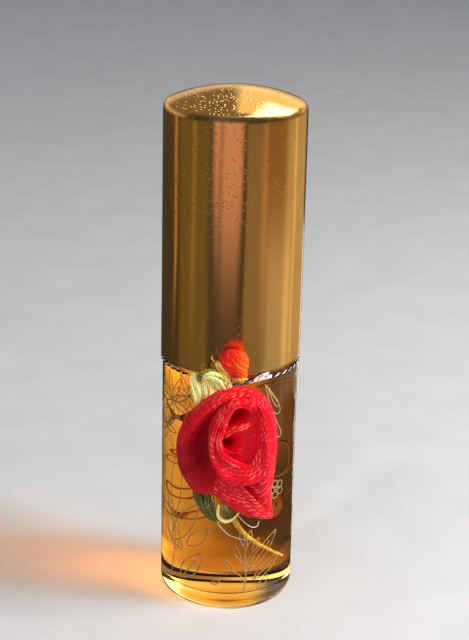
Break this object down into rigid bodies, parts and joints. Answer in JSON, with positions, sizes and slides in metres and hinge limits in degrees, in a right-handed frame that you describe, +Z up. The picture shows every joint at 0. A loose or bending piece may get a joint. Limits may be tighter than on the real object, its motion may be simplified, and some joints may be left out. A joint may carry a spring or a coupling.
{
  "type": "roll-on perfume bottle",
  "caption": "Slim round glass roll-on bottle of amber perfume oil with a tall gold pull-off cap and a red ribbon rose tied to its front.",
  "frame": {"origin": "centre of the flat ring that the bottle stands on", "axes": "+Z up along the bottle's axis to the cap's top; the ribbon rose faces -Y; +X to the viewer's right"},
  "size_m": [0.0208, 0.0264, 0.0782],
  "materials": {
    "clear_glass": "clear colourless glass, polished, with thin gold line print",
    "amber_oil": "clear amber perfume oil",
    "housing_plastic": "natural white polypropylene, satin",
    "ball_steel": "polished stainless steel",
    "gold_aluminium": "polished gold-anodised aluminium",
    "liner_plastic": "natural white polypropylene",
    "seal_foam": "soft white sealing disc",
    "twisted_cord": "twisted silver and black metallic cord",
    "clear_glue": "clear set glue",
    "red_ribbon": "ribbed red satin ribbon",
    "dark_green_floss": "dark green silk floss",
    "olive_floss": "olive silk floss",
    "pale_green_floss": "pale yellow-green silk floss",
    "gold_wire": "bright gold wrapped wire",
    "pale_thread": "thin pale loose thread",
    "crimson_floss": "crimson silk floss",
    "orange_red_floss": "orange-red silk floss",
    "gold_thread": "gold thread",
    "yellow_floss": "golden yellow silk floss"
  },
  "bodies": {
    "bottle": {"glass_vial": "clear_glass", "perfume_oil": "amber_oil", "ball_housing": "housing_plastic", "neck_cord": "twisted_cord", "cord_knot": "twisted_cord", "glue_pad": "clear_glue", "rose_core": "red_ribbon", "rose_petal_inner": "red_ribbon", "rose_petal_left": "red_ribbon", "rose_petal_right": "red_ribbon", "rose_petal_lower": "red_ribbon", "sepal_left": "dark_green_floss", "sepal_right": "olive_floss", "sepal_loop": "pale_green_floss", "rose_stem": "gold_wire", "thread_long": "pale_thread", "thread_short": "pale_thread", "bud_lobe_left": "crimson_floss", "bud_lobe_right": "orange_red_floss", "bud_cup": "gold_thread", "bud_stalk": "olive_floss", "leaf_loop": "pale_green_floss", "leaf_binding": "olive_floss", "leaf_left": "pale_green_floss", "leaf_middle": "pale_green_floss", "bud_leaf": "yellow_floss", "bud_leaf_curl": "gold_thread"},
    "ball": {"roller_ball": "ball_steel"},
    "cap_slider": {"cap_seal": "seal_foam"},
    "cap": {"cap_shell": "gold_aluminium", "cap_liner": "liner_plastic"}
  },
  "joints": [
    {"name": "ball_roll", "type": "hinge", "parent": "bottle", "child": "ball", "pos_m": [0, 0, 0.0526], "axis": [1, 0, 0], "continuous": true},
    {"name": "cap_pull", "type": "slide", "parent": "bottle", "child": "cap_slider", "axis": [0, 0, 1], "range_m": [0, 0.04]},
    {"name": "cap_turn", "type": "hinge", "parent": "cap_slider", "child": "cap", "pos_m": [0, 0, 0.058], "axis": [0, 0, 1], "continuous": true}
  ]
}
